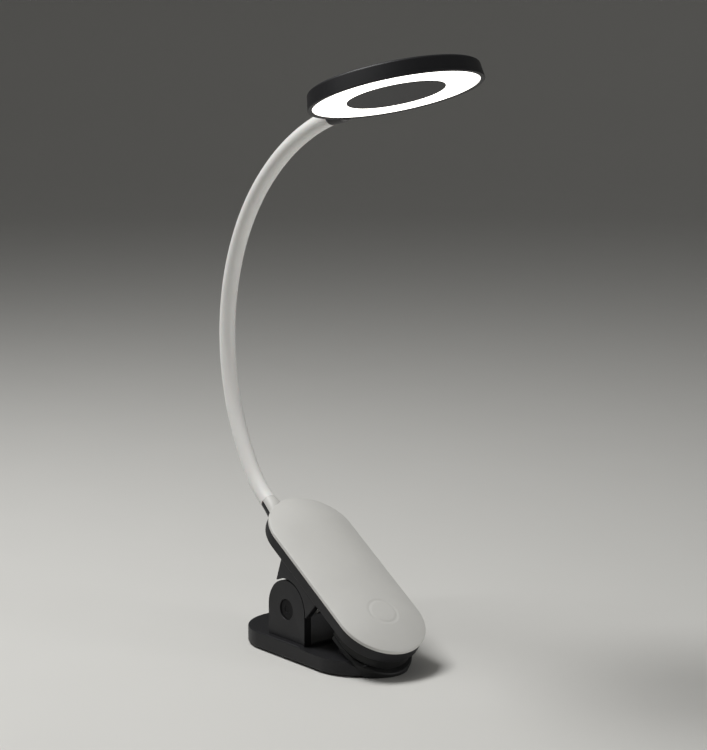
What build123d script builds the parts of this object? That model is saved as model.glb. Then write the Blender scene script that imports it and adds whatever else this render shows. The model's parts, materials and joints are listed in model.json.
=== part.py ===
from build123d import *
import os
from math import cos, degrees, radians, sin

os.makedirs("parts", exist_ok=True)

# Clip-on reading lamp. Millimetres and degrees, +Z up, +X towards the jaw tips.
# The origin is on the face it rests on, straight under the jaw hinge.

# Lower jaw: a flat round-ended base with two ears that carry the hinge.
FOOT_T = 1.2
BASE_R = 27.4
BASE_REAR = -21.5
BASE_FRONT = 32.1
BASE_TOP = 9.9
BASE_STEP = 1.4
BASE_STEP_X = (14.0, 18.0)
BASE_WALL = 2.2
BASE_CAVITY_TOP = 6.2
BASE_CAVITY_FRONT = 19.0
PLATE_T = 1.6
PIVOT_Z = 26.3
EAR_R = 15.9
EAR_OUT = 24.0
EAR_IN = 19.5
EAR_HOLE_R = 5.6
EAR_HOLE_DEPTH = 1.8
BASE_SCREWS = ((-36.0, 0.0), (-10.0, 16.0), (-10.0, -16.0), (30.0, 0.0))

# Upper jaw: a lever shell with a crowned top cover, tilted down to the jaw tips.
# Lever frame: origin on the hinge axis, u along the lever to the tips, w square to its top.
JAW_TILT = 32.2
COVER_R = 25.3
COVER_REAR = -26.8
COVER_FRONT = 40.9
COVER_TOP = 29.2
COVER_LOW = 27.4
COVER_EDGE = 0.5
COVER_CROWN = 4.5
COVER_INNER_R = 21.5
COVER_INNER_CROWN = 4.5
SHELL_R = 24.9
SHELL_TOP = 27.2
SHELL_LOW = 20.8
SHELL_WALL = 2.0
SHELL_FLOOR = 22.6
SKIRT_OUT = 24.3
SKIRT_IN = 20.3
SKIRT_LOW = 8.1
SKIRT_HALF_LOW = 15.3
SKIRT_HALF_TOP = 18.3
EAR_GAP = 1.05
LUG_R = 6.5
LUG_IN = 12.5
LUG_OUT = 19.0
COVER_SCREWS = ((-39.0, 4.0), (-14.0, 18.8), (-14.0, -18.8), (52.0, 14.5), (52.0, -14.5))
SCREW_BOSS_R = 2.6
TOUCH_R = 7.6

# Hinge pin, its caps and the torsion spring.
PIN_R = 2.5
RUN_CLEAR = 0.05
CAP_R = 5.5
CAP_T = 1.2
WIRE_R = 0.8
COIL_R = 5.0
COIL_PITCH = 1.75
COIL_TURNS = 6
SPRING_LOOP_Y = 6.4

# Rubber jaw pads, both parallel to the lever.
PAD_SEAT = 10.7
PAD_FACE = 13.7
PAD_R = 20.0
PAD_FRONT = 47.2
PAD_REAR = 34.0
UPPER_PAD_FACE = 14.0
UPPER_PAD_R = 20.6
UPPER_PAD_FRONT = 43.6
RAMP_HALF = 15.5
RAMP_REAR_X = 34.5

# Gooseneck: three tangent arcs in one upright plane, cut into links at the bend points.
NECK_Y = -10.0
NECK_W = 24.85
NECK_START_U = -56.6
SLEEVE_R = 4.4
CORE_R = 2.2
CORE_BORE = 1.35
LEAD_R = 1.15
CUP_R = 4.6
LINK_PITCH = 38.0
LINK_FIRST = 19.0
BENDS = 7
NECK_RADII = (50.0, 126.0, 140.0)
NECK_HEADINGS = (180.0 - JAW_TILT, 125.6, 45.7, 17.4)
COLLAR_ROOT_R = 5.1
COLLAR_ROOT_U = -40.0
CLAMP_U = (-42.5, -37.0)
CLAMP_HALF = 3.8
CLAMP_TOP = 27.39

# Charging socket in the rear wall, beside the gooseneck.
SOCKET_V = 9.0
SOCKET_W = 24.6
SOCKET_U = -50.6
SOCKET_L = 7.2

# Ring head: the lit face looks down. Head frame: origin at the lit face's centre,
# X to the front rim, Z square to the face and up to the closed back.
HEAD_TILT = NECK_HEADINGS[-1]
HEAD_REACH = 53.4
HEAD_AXIS = 3.9
HEAD_R = 44.4
HEAD_BACK_R = 43.2
HEAD_T = 8.5
HEAD_WALL = 1.5
LIT_OUTER = 42.1
LIT_INNER = 24.9
LED_COUNT = 24
LED_RING_R = 33.5
LED_BOARD_R = (17.0, 41.2)
HEAD_SCREW_R = 20.5
FIT = 0.1


def box_between(low, high):
    """Box from its lowest corner to its highest corner."""
    size = [b - a for a, b in zip(low, high)]
    return Pos(*low) * Box(*size, align=(Align.MIN, Align.MIN, Align.MIN))


def obround(radius, rear, front, low, high):
    """Round-ended block whose end centres lie at rear and front on the X axis."""
    outline = Pos((rear + front) / 2, 0, low) * SlotCenterToCenter(front - rear, 2 * radius)
    return extrude(outline, high - low)


def d_block(radius, rear, front, low, high):
    """Block that is round at the front and straight across at the rear."""
    whole = obround(radius, rear, front, low, high)
    return whole & box_between((rear, -radius, low), (front + radius, radius, high))


def side_plate(outline, y_low, y_high):
    """A flat outline drawn as X and Z, given its thickness along Y."""
    return Pos(0, y_high, 0) * Rot(90, 0, 0) * extrude(outline, y_high - y_low)


def across(radius, y_low, y_high, x=0.0, z=0.0):
    """Round bar along Y."""
    return side_plate(Pos(x, z, 0) * Circle(radius), y_low, y_high)


def disc(radius, low, high):
    return Pos(0, 0, low) * extrude(Circle(radius), high - low)


def on_lever(shape):
    return Pos(0, 0, PIVOT_Z) * Rot(0, JAW_TILT, 0) * shape


def lever_point(u, w):
    """X and Z of a point given in the lever frame."""
    tilt = radians(JAW_TILT)
    return u * cos(tilt) + w * sin(tilt), PIVOT_Z - u * sin(tilt) + w * cos(tilt)


def save(shape, name):
    solids = shape.solids()
    joined = solids[0] if len(solids) == 1 else Compound(children=list(solids))
    joined.label = name
    export_step(joined, "parts/" + name + ".step")
    print(name, len(solids), round(sum(solid.volume for solid in solids), 1))


def screw(x, y, head_low, head_r, head_t, shank_r, length):
    """Pan-head screw pointing up, its head resting at head_low."""
    head = Pos(x, y, head_low) * extrude(Circle(head_r), head_t)
    shank = Pos(x, y, head_low + head_t) * extrude(Circle(shank_r), length)
    cross = Pos(x, y, head_low) * extrude(Rectangle(head_r, 0.4) + Rectangle(0.4, head_r), 0.4)
    return head + shank - cross


# Lower jaw

def ear_outline(radius, foot):
    round_top = Pos(0, PIVOT_Z, 0) * Circle(radius)
    stem = Pos(0, (foot + PIVOT_Z) / 2, 0) * Rectangle(2 * radius, PIVOT_Z - foot)
    return round_top + stem


def make_base():
    block = obround(BASE_R, BASE_REAR, BASE_FRONT, FOOT_T, BASE_TOP)
    block = fillet(block.faces().sort_by(Axis.Z)[-1].edges(), 0.8)
    step = Polyline(
        (BASE_STEP_X[0], BASE_TOP), (BASE_STEP_X[1], BASE_TOP - BASE_STEP),
        (90, BASE_TOP - BASE_STEP), (90, BASE_TOP + 9), (BASE_STEP_X[0], BASE_TOP + 9), close=True,
    )
    block -= side_plate(make_face(step), -EAR_OUT - 9, EAR_OUT + 9)
    ramp = on_lever(box_between((20, -RAMP_HALF, -40), (80, RAMP_HALF, PAD_SEAT)))
    ramp &= box_between((RAMP_REAR_X, -RAMP_HALF, BASE_TOP - 3.6), (50, RAMP_HALF, 40))
    block += ramp
    block -= on_lever(box_between((22.5, -40, PAD_SEAT), (90, 40, 60)))
    block -= obround(BASE_R - BASE_WALL, BASE_REAR, BASE_CAVITY_FRONT, FOOT_T, BASE_CAVITY_TOP)
    for side in (1, -1):
        low, high = sorted((side * EAR_IN, side * EAR_OUT))
        ear = side_plate(ear_outline(EAR_R, BASE_TOP - 2), low, high)
        ear -= across(PIN_R, -30, 30, 0, PIVOT_Z)
        low, high = sorted((side * (EAR_OUT - EAR_HOLE_DEPTH), side * (EAR_OUT + 1)))
        ear -= across(EAR_HOLE_R, low, high, 0, PIVOT_Z)
        block += ear
    boss_low = FOOT_T + PLATE_T
    for x, y in BASE_SCREWS:
        block += Pos(x, y, boss_low) * extrude(Circle(SCREW_BOSS_R), BASE_CAVITY_TOP - boss_low)
        block -= Pos(x, y, FOOT_T) * extrude(Circle(0.9), 5.0)
    return block


def make_bottom_plate():
    plate = obround(BASE_R - BASE_WALL - FIT, BASE_REAR, BASE_CAVITY_FRONT, FOOT_T, FOOT_T + PLATE_T)
    for x, y in BASE_SCREWS:
        plate -= Pos(x, y, FOOT_T) * extrude(Circle(0.9 + FIT), PLATE_T)
        plate -= Pos(x, y, FOOT_T) * extrude(Circle(1.9), 0.9)
    return plate


def make_foot():
    return obround(BASE_R - 3.4, BASE_REAR, BASE_CAVITY_FRONT, 0, FOOT_T)


def make_base_screws():
    group = Part()
    for x, y in BASE_SCREWS:
        group += screw(x, y, FOOT_T + 0.1, 1.8, 0.8, 0.9, 3.6)
    return group


def make_lower_pad():
    slab = on_lever(d_block(PAD_R, PAD_REAR, PAD_FRONT, PAD_SEAT, PAD_FACE))
    toe = on_lever(d_block(PAD_R, PAD_REAR, PAD_FRONT, -8, PAD_SEAT))
    toe &= box_between((45, -40, 0), (90, 40, BASE_TOP))
    toe -= obround(BASE_R, BASE_REAR, BASE_FRONT, -1, BASE_TOP + 9)
    pad = slab + toe
    return pad & box_between((20, -40, 0), (90, 40, 60))


def make_pin():
    pin = across(PIN_R, -EAR_OUT + EAR_HOLE_DEPTH, EAR_OUT - EAR_HOLE_DEPTH, 0, PIVOT_Z)
    return chamfer(pin.edges().filter_by(GeomType.CIRCLE), 0.3)


def make_caps():
    group = Part()
    for side in (1, -1):
        seat = EAR_OUT - EAR_HOLE_DEPTH
        low, high = sorted((side * seat, side * (seat + CAP_T)))
        group += across(CAP_R, low, high, 0, PIVOT_Z)
    return group


def wire_between(start, end):
    """Straight round spring wire with ball ends."""
    run = Vector(*end) - Vector(*start)
    rod = extrude(Plane(origin=start, z_dir=run) * Circle(WIRE_R), run.length)
    return rod + Pos(*start) * Sphere(WIRE_R) + Pos(*end) * Sphere(WIRE_R)


def make_spring_coil():
    height = COIL_PITCH * (COIL_TURNS - 1)
    helix = Helix(pitch=COIL_PITCH, height=height, radius=COIL_R)
    coil = sweep(Plane(origin=helix @ 0, z_dir=helix % 0) * Circle(WIRE_R), path=helix, is_frenet=True)
    coil = Pos(0, SPRING_LOOP_Y - 2 * WIRE_R - 0.2, PIVOT_Z) * Rot(90, 0, 0) * Rot(0, 0, -90) * coil
    y_low = SPRING_LOOP_Y - 2 * WIRE_R - 0.2 - height
    leg_top = (0, y_low, PIVOT_Z - COIL_R)
    leg_end = (-20, y_low, BASE_TOP + WIRE_R + 0.05)
    return coil + wire_between(leg_top, leg_end)


def make_spring_leg():
    """The last coil turn and the leg that pushes up under the lever, in the lever frame."""
    loop = Pos(0, SPRING_LOOP_Y, 0) * Rot(90, 0, 0) * Torus(COIL_R, WIRE_R)
    leg_end = (-16.0, SPRING_LOOP_Y, SHELL_LOW - WIRE_R - 0.05)
    return loop + wire_between((-COIL_R, SPRING_LOOP_Y, 0), leg_end)


# Upper jaw, all in the lever frame

def collar_cone():
    """Short flared collar where the gooseneck leaves the rear of the lever."""
    length = COLLAR_ROOT_U - NECK_START_U
    flare = (COLLAR_ROOT_R - SLEEVE_R) / 7.5
    cone = Cone(SLEEVE_R + flare * length, SLEEVE_R, length, align=(Align.CENTER, Align.CENTER, Align.MIN))
    return Pos(COLLAR_ROOT_U, NECK_Y, NECK_W) * Rot(0, -90, 0) * cone


def collar_bore(radius=CORE_R + FIT):
    bar = Cylinder(radius, 40, align=(Align.CENTER, Align.CENTER, Align.MIN))
    return Pos(COLLAR_ROOT_U + 8, NECK_Y, NECK_W) * Rot(0, -90, 0) * bar


def make_lever_shell():
    shell = obround(SHELL_R, COVER_REAR, COVER_FRONT, SHELL_LOW, SHELL_TOP)
    shell = fillet(shell.faces().sort_by(Axis.Z)[0].edges(), 0.7)
    inner_r = SHELL_R - SHELL_WALL
    shell += collar_cone() & box_between((-70, -30, 10), (COLLAR_ROOT_U, 30, NECK_W))
    shell -= obround(inner_r, COVER_REAR, COVER_FRONT, SHELL_FLOOR, SHELL_TOP + 9)
    for side in (1, -1):
        outline = Polyline(
            (-SKIRT_HALF_LOW, SKIRT_LOW), (SKIRT_HALF_LOW, SKIRT_LOW),
            (SKIRT_HALF_TOP, SHELL_FLOOR), (-SKIRT_HALF_TOP, SHELL_FLOOR), close=True,
        )
        low, high = sorted((side * SKIRT_IN, side * SKIRT_OUT))
        skirt = side_plate(make_face(outline), low, high)
        shell += skirt - across(EAR_R + EAR_GAP, -30, 30)
        low, high = sorted((side * LUG_IN, side * LUG_OUT))
        web = Pos(0, SHELL_FLOOR / 2, 0) * Rectangle(2 * LUG_R - 1, SHELL_FLOOR)
        lug = side_plate(Circle(LUG_R) + web, low, high)
        shell += lug - across(PIN_R + RUN_CLEAR, -30, 30)
    for x, y in COVER_SCREWS:
        boss = Pos(x, y, SHELL_FLOOR - 1) * extrude(Circle(SCREW_BOSS_R), 1 + COVER_LOW - 1.8 - SHELL_FLOOR)
        shell += boss
        shell -= Pos(x, y, SHELL_LOW - 1) * extrude(Circle(0.9 + FIT), 9)
        shell -= Pos(x, y, SHELL_LOW - 1) * extrude(Circle(2.0), 2.2)
    shell -= collar_bore()
    shell -= socket_cut(FIT)
    return shell


def crown_ball(radius, rise):
    """Radius of the arc that rises this much over a half width."""
    return (radius**2 + rise**2) / (2 * rise)


def crown(radius, base, rise):
    """Domed block on the cover's footprint: an arc across it, turned round both ends."""
    ball = crown_ball(radius, rise)
    centre = base + rise - ball
    run = COVER_FRONT - COVER_REAR
    bar = Pos((COVER_REAR + COVER_FRONT) / 2, 0, centre) * Rot(0, 90, 0) * Cylinder(ball, run)
    dome = bar & box_between((COVER_REAR, -radius, base), (COVER_FRONT, radius, base + rise + 1))
    for x, side in ((COVER_REAR, -1), (COVER_FRONT, 1)):
        cap = Pos(x, 0, centre) * Sphere(ball) & Pos(x, 0, 0) * disc(radius, base, base + rise + 1)
        low, high = sorted((x, x + side * (radius + 1)))
        dome += cap & box_between((low, -radius, base), (high, radius, base + rise + 1))
    return dome


def crown_height(x, y, radius, base, rise):
    away = Vector(max(x - COVER_FRONT, 0, COVER_REAR - x), y).length
    ball = crown_ball(radius, rise)
    return base + rise - ball + (ball**2 - away**2) ** 0.5


def make_top_cover():
    cover = obround(COVER_R, COVER_REAR, COVER_FRONT, COVER_LOW, COVER_TOP)
    cover = fillet(cover.faces().sort_by(Axis.Z)[-1].edges(), COVER_EDGE)
    cover += crown(COVER_R - COVER_EDGE, COVER_TOP, COVER_CROWN)
    cover -= crown(COVER_INNER_R, COVER_LOW, COVER_INNER_CROWN)
    lip_r = SHELL_R - SHELL_WALL - FIT
    lip = obround(lip_r, COVER_REAR, COVER_FRONT, COVER_LOW - 1.2, COVER_LOW)
    lip -= obround(lip_r - 1.1, COVER_REAR, COVER_FRONT, COVER_LOW - 2, COVER_LOW)
    cover += lip
    boss_low = COVER_LOW - 1.8
    for x, y in COVER_SCREWS:
        boss_top = crown_height(x, y, COVER_INNER_R, COVER_LOW, COVER_INNER_CROWN) + 0.9
        cover += Pos(x, y, boss_low) * extrude(Circle(SCREW_BOSS_R), boss_top - boss_low)
        cover -= Pos(x, y, COVER_LOW - 2) * extrude(Circle(0.9), 2.6)
    outside = collar_cone() & box_between((-70, -30, NECK_W), (COLLAR_ROOT_U, 30, 40))
    outside -= obround(SHELL_R, COVER_REAR, COVER_FRONT, 0, COVER_LOW)
    outside -= obround(COVER_R - 0.3, COVER_REAR, COVER_FRONT, COVER_LOW, 40)
    cover += outside
    cover -= collar_bore()
    return cover


def make_upper_pad():
    return d_block(UPPER_PAD_R, PAD_REAR, UPPER_PAD_FRONT, UPPER_PAD_FACE, SHELL_LOW)


def make_lever_screws():
    group = Part()
    for x, y in COVER_SCREWS:
        group += screw(x, y, SHELL_LOW + 0.4, 1.8, 0.8, 0.9, 5.4)
    return group


def socket_cut(gap):
    """Opening for the charging socket in the rear wall."""
    outline = Rot(0, 0, 90) * SlotOverall(8.9 + 2 * gap, 3.2 + 2 * gap)
    bar = extrude(outline, SOCKET_L + 4)
    return Pos(SOCKET_U + SOCKET_L, SOCKET_V, SOCKET_W) * Rot(0, -90, 0) * bar


def make_charging_socket():
    outer = Rot(0, 0, 90) * SlotOverall(8.9, 3.2)
    inner = Rot(0, 0, 90) * SlotOverall(8.3, 2.6)
    tongue = Rot(0, 0, 90) * Rectangle(6.6, 0.7)
    shell = extrude(outer, SOCKET_L) - Pos(0, 0, 1) * extrude(inner, SOCKET_L)
    shell += extrude(tongue, SOCKET_L - 0.8)
    return Pos(SOCKET_U + SOCKET_L, SOCKET_V, SOCKET_W) * Rot(0, -90, 0) * shell


def make_board():
    board = box_between((-34, -15, SHELL_FLOOR + 0.5), (-2, 15, SHELL_FLOOR + 1.5))
    return board


def make_board_chips():
    low = SHELL_FLOOR + 1.5
    group = box_between((-30, -2, low), (-25, 3, low + 0.9))
    group += box_between((-20, 4, low), (-16, 8, low + 0.9))
    group += box_between((-21, -9, low), (-17, -5, low + 2.0))
    group += box_between((-12, -4, low), (-8, 2, low + 1.6))
    group += box_between((-32, 6.2, low), (-30.8, 8.2, low + 0.6))
    return group


def make_battery():
    cell = box_between((2, -17, SHELL_FLOOR + 0.1), (40, 17, SHELL_FLOOR + 4.5))
    return fillet(cell.edges().filter_by(Axis.X), 1.2)


def make_battery_leads():
    group = Part()
    for y in (9.0, 11.6):
        group += Pos(0, y, SHELL_FLOOR + 1.2) * Rot(0, 90, 0) * Cylinder(0.6, 4.0)
    return group


def make_touch_plate():
    """Thin sensing disc under the cover's crown, in line with its round front end."""
    under = crown_height(COVER_FRONT, TOUCH_R, COVER_INNER_R, COVER_LOW, COVER_INNER_CROWN)
    return Pos(COVER_FRONT, 0, under - 0.25) * extrude(Circle(TOUCH_R), 0.2)


def make_neck_clamp():
    """Saddle that holds the gooseneck core down inside the lever."""
    rear, front = CLAMP_U
    block = box_between(
        (rear, NECK_Y - CLAMP_HALF, SHELL_FLOOR), (front, NECK_Y + CLAMP_HALF, CLAMP_TOP)
    )
    slot = box_between((rear, NECK_Y - CORE_R, SHELL_FLOOR), (front, NECK_Y + CORE_R, NECK_W))
    return block - slot - collar_bore(CORE_R)


# Gooseneck

def neck_at(distance):
    """X, Z and heading, in degrees above +X, at a distance along the centre line."""
    x, z = lever_point(NECK_START_U, NECK_W)
    heading = radians(NECK_HEADINGS[0])
    for radius, before, after in zip(NECK_RADII, NECK_HEADINGS, NECK_HEADINGS[1:]):
        length = radius * radians(before - after)
        step = min(distance, length) / radius
        x += radius * (sin(heading) - sin(heading - step))
        z += radius * (cos(heading - step) - cos(heading))
        heading -= step
        distance -= length
        if distance <= 0:
            break
    return x, z, degrees(heading)


def neck_vector(distance):
    x, z, _ = neck_at(distance)
    return Vector(x, NECK_Y, z)


def neck_breaks():
    """Distances at which one arc meets the next, the last one being the neck's whole length."""
    total = 0.0
    breaks = []
    for radius, before, after in zip(NECK_RADII, NECK_HEADINGS, NECK_HEADINGS[1:]):
        total += radius * radians(before - after)
        breaks.append(total)
    return breaks


NECK_LENGTH = neck_breaks()[-1]
BEND_AT = [LINK_FIRST + LINK_PITCH * i for i in range(BENDS)]


def neck_bar(radius, start, end, tail=0.0, lead=0.0):
    """Round bar along the centre line, with straight runs added before and after."""
    stops = [start] + [b for b in neck_breaks() if start < b < end] + [end]
    edges = []
    _, _, first = neck_at(start)
    _, _, last = neck_at(end)
    begin = neck_vector(start)
    if tail:
        begin = begin - tail * Vector(cos(radians(first)), 0, sin(radians(first)))
        edges.append(Line(begin, neck_vector(start)))
    for low, high in zip(stops, stops[1:]):
        middle = neck_vector((low + high) / 2)
        edges.append(ThreePointArc(neck_vector(low), middle, neck_vector(high)))
    if lead:
        beyond = neck_vector(end) + lead * Vector(cos(radians(last)), 0, sin(radians(last)))
        edges.append(Line(neck_vector(end), beyond))
    direction = Vector(cos(radians(first)), 0, sin(radians(first)))
    section = Plane(origin=begin, z_dir=direction) * Circle(radius)
    return sweep(section, path=Wire(edges))


def neck_ball(radius, distance):
    return Pos(*neck_vector(distance)) * Sphere(radius)


def link_span(index):
    """Start and end distances of a link; the first and last are stubs."""
    start = 0.0 if index == 0 else BEND_AT[index - 1]
    end = NECK_LENGTH if index == BENDS else BEND_AT[index]
    return start, end


def make_sleeve(index):
    start, end = link_span(index)
    sleeve = neck_bar(SLEEVE_R, start, end)
    bore_from = start
    if index > 0:
        sleeve += neck_ball(SLEEVE_R, start)
        bore_from = start + 3.0
    if index < BENDS:
        sleeve -= neck_ball(CUP_R, end)
    return sleeve - neck_bar(CORE_R + 0.02, bore_from, end)


def core_span(index):
    start, end = link_span(index)
    if index > 0:
        start += 3.2
    if index < BENDS:
        end -= CUP_R + 0.5
    tail = 19.0 if index == 0 else 0.0
    lead = HEAD_REACH - LIT_OUTER - 0.3 if index == BENDS else 0.0
    return start, end, tail, lead


def make_core(index):
    start, end, tail, lead = core_span(index)
    return neck_bar(CORE_R, start, end, tail, lead) - neck_bar(CORE_BORE, start, end, tail, lead)


def make_leads(index):
    start, end, tail, lead = core_span(index)
    return neck_bar(LEAD_R, start, end, tail, lead)


# Ring head, in the head frame

def head_centre():
    x, z, _ = neck_at(NECK_LENGTH)
    tilt = radians(HEAD_TILT)
    x += HEAD_REACH * cos(tilt) + HEAD_AXIS * sin(tilt)
    z += HEAD_REACH * sin(tilt) - HEAD_AXIS * cos(tilt)
    return x, NECK_Y, z


def on_head(shape):
    return Pos(*head_centre()) * Rot(0, -HEAD_TILT, 0) * shape


def tube(outer, inner, low, high):
    return disc(outer, low, high) - disc(inner, low, high)


def head_bar(radius, start, end):
    """Round bar along the neck's axis in the head frame."""
    bar = Cylinder(radius, end - start, align=(Align.CENTER, Align.CENTER, Align.MIN))
    return Pos(start, 0, HEAD_AXIS) * Rot(0, 90, 0) * bar


def head_screw_places():
    return [Rot(0, 0, 60 + 120 * i) * Pos(HEAD_SCREW_R, 0, 0) for i in range(3)]


def make_head_housing():
    body = Cone(HEAD_R, HEAD_BACK_R, HEAD_T, align=(Align.CENTER, Align.CENTER, Align.MIN))
    body = fillet(body.faces().sort_by(Axis.Z)[-1].edges(), 1.3)
    body -= disc(LIT_OUTER, -1, HEAD_T - HEAD_WALL)
    for place in head_screw_places():
        body -= place * disc(0.8, 0, HEAD_T - 0.4)
    return body - head_bar(CORE_R + FIT, -60, -38)


def make_head_collar():
    length = HEAD_REACH - HEAD_R + 1.5
    cone = Cone(SLEEVE_R, 5.4, length, align=(Align.CENTER, Align.CENTER, Align.MIN))
    collar = Pos(-HEAD_REACH, 0, HEAD_AXIS) * Rot(0, 90, 0) * cone
    collar -= Cone(HEAD_R, HEAD_BACK_R, HEAD_T, align=(Align.CENTER, Align.CENTER, Align.MIN))
    collar -= disc(HEAD_R, -4, 0)
    return collar - head_bar(CORE_R, -60, -38)


def make_diffuser():
    return tube(LIT_OUTER - 0.05, LIT_INNER + 0.05, 0.3, 2.1)


def make_centre_disc():
    face = disc(LIT_INNER, 0.1, 1.6)
    return face + tube(LIT_INNER, LIT_INNER - 1.2, 1.6, 4.8)


def make_reflector():
    tray = tube(LIT_OUTER - 0.1, LIT_INNER + 0.1, 4.85, 5.15)
    tray += tube(LIT_OUTER - 0.1, LIT_OUTER - 0.6, 2.1, 5.15)
    for i in range(LED_COUNT):
        hole = Pos(LED_RING_R, 0, 4.5) * extrude(Rectangle(3.4, 3.4), 1)
        tray -= Rot(0, 0, 360 / LED_COUNT * (i + 0.5)) * hole
    return tray - box_between((-43, -1.6, 2), (-39.6, 1.6, 6))


def make_led_board():
    board = tube(LED_BOARD_R[1], LED_BOARD_R[0], 5.8, 6.95)
    for place in head_screw_places():
        board -= place * disc(0.85, 5, 8)
    return board


def make_led_chips():
    group = Part()
    for i in range(LED_COUNT):
        angle = 360 / LED_COUNT * (i + 0.5)
        if abs(angle - 180) > 8:
            chip = Pos(LED_RING_R, 0, 5.0) * extrude(Rectangle(2.8, 2.8), 0.8)
            group += Rot(0, 0, angle) * chip
    return group


def make_head_leads():
    """Two lead ends from the gooseneck up to the light board."""
    group = Part()
    for y in (-0.7, 0.7):
        bar = Cylinder(0.45, 1.8, align=(Align.CENTER, Align.CENTER, Align.MIN))
        group += Pos(-42.3, y, HEAD_AXIS) * Rot(0, 90, 0) * bar
        group += Pos(-40.5, y, HEAD_AXIS - 0.45) * extrude(Circle(0.45), 5.8 - HEAD_AXIS + 0.45)
    return group


def make_head_screws():
    group = Part()
    for place in head_screw_places():
        group += place * screw(0, 0, 4.9, 1.7, 0.9, 0.8, 2.2)
    return group


save(make_base(), "lower_jaw_base")
save(make_bottom_plate(), "base_bottom_plate")
save(make_foot(), "base_foot_pad")
save(make_base_screws(), "base_screws")
save(make_lower_pad(), "lower_jaw_pad")
save(make_pin(), "hinge_pin")
save(make_caps(), "hinge_pin_caps")
save(make_spring_coil(), "torsion_spring_coil")
save(on_lever(make_spring_leg()), "torsion_spring_leg")

save(on_lever(make_lever_shell()), "lever_shell")
save(on_lever(make_top_cover()), "top_cover")
save(on_lever(make_upper_pad()), "upper_jaw_pad")
save(on_lever(make_lever_screws()), "lever_screws")
save(on_lever(make_charging_socket()), "charging_socket")
save(on_lever(make_board()), "circuit_board")
save(on_lever(make_board_chips()), "circuit_board_chips")
save(on_lever(make_battery()), "battery_cell")
save(on_lever(make_battery_leads()), "battery_leads")
save(on_lever(make_touch_plate()), "touch_plate")
save(on_lever(make_neck_clamp()), "neck_clamp")

for number in range(BENDS + 1):
    save(make_sleeve(number), "neck_sleeve_" + str(number))
    save(make_core(number), "neck_core_" + str(number))
    save(make_leads(number), "neck_leads_" + str(number))

save(on_head(make_head_housing()), "head_housing")
save(on_head(make_head_collar()), "head_collar")
save(on_head(make_diffuser()), "diffuser_ring")
save(on_head(make_centre_disc()), "head_centre_disc")
save(on_head(make_reflector()), "reflector_ring")
save(on_head(make_led_board()), "led_board")
save(on_head(make_led_chips()), "led_chips")
save(on_head(make_head_leads()), "head_leads")
save(on_head(make_head_screws()), "head_screws")
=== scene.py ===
"""Looks of a clip-on reading lamp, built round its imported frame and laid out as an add-on."""

import json
import math

import bmesh
import bpy
from bpy.props import FloatProperty, FloatVectorProperty, PointerProperty
from mathutils import Matrix, Vector


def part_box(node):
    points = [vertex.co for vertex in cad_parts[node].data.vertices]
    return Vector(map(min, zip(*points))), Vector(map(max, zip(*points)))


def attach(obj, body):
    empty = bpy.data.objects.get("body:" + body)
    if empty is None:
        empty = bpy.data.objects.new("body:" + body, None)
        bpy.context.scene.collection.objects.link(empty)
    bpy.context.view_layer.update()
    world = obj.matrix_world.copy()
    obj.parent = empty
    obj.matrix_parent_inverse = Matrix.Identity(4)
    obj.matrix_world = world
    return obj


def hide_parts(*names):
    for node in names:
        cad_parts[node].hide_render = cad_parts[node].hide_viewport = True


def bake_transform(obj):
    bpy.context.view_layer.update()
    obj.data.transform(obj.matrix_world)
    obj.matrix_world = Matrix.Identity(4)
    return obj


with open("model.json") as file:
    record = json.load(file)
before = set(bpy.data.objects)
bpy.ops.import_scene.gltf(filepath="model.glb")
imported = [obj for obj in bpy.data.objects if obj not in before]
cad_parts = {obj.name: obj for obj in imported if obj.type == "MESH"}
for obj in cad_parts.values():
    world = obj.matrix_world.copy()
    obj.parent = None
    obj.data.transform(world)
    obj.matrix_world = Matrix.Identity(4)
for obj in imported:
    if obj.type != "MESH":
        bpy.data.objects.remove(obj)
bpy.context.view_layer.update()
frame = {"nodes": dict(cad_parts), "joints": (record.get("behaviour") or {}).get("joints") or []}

bl_info = {
    "name": "Clip-on Reading Lamp",
    "version": (1, 0, 0),
    "blender": (4, 5, 0),
    "location": "3D View > Sidebar > Reading Lamp",
    "description": "Builds the finished pieces and the stage of a clip-on reading lamp",
    "category": "Object",
}

# Shapes are drawn in millimetres, and land in the frame in metres.
MM = 0.001
ROUND_STEPS = 96

# Lower jaw: a flat round-ended base with two ears.
BASE_R = 27.4
BASE_REAR, BASE_FRONT = -21.5, 32.1
BASE_TOP = 9.9
STEP_REAR, STEP_FRONT, STEP_DEPTH = 14.0, 18.0, 1.4
BASE_WALL = 2.2
CAVITY_TOP, CAVITY_FRONT = 6.2, 19.0
RAMP_LOW, RAMP_HIGH = (34.5, -15.5, 6.3), (50, 15.5, 40)
FOOT_R, FOOT_T = 24.0, 1.2
# Rings in the foot's underside: how far each is inset, and how far it rises or sinks.
FOOT_RINGS = ((1.6, 0), (0.5, -0.4), (3.0, 0), (0.5, 0.4), (1.2, 0), (0.5, -0.4))
EAR_R, EAR_IN, EAR_OUT = 15.9, 19.5, 24.0
CAP_SEAT, CAP_R, CAP_T, DIMPLE_R, DIMPLE = 22.2, 5.5, 1.2, 2.1, 0.3
BASE_SCREWS = ((-36, 0), (-10, 16), (-10, -16), (30, 0))

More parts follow.
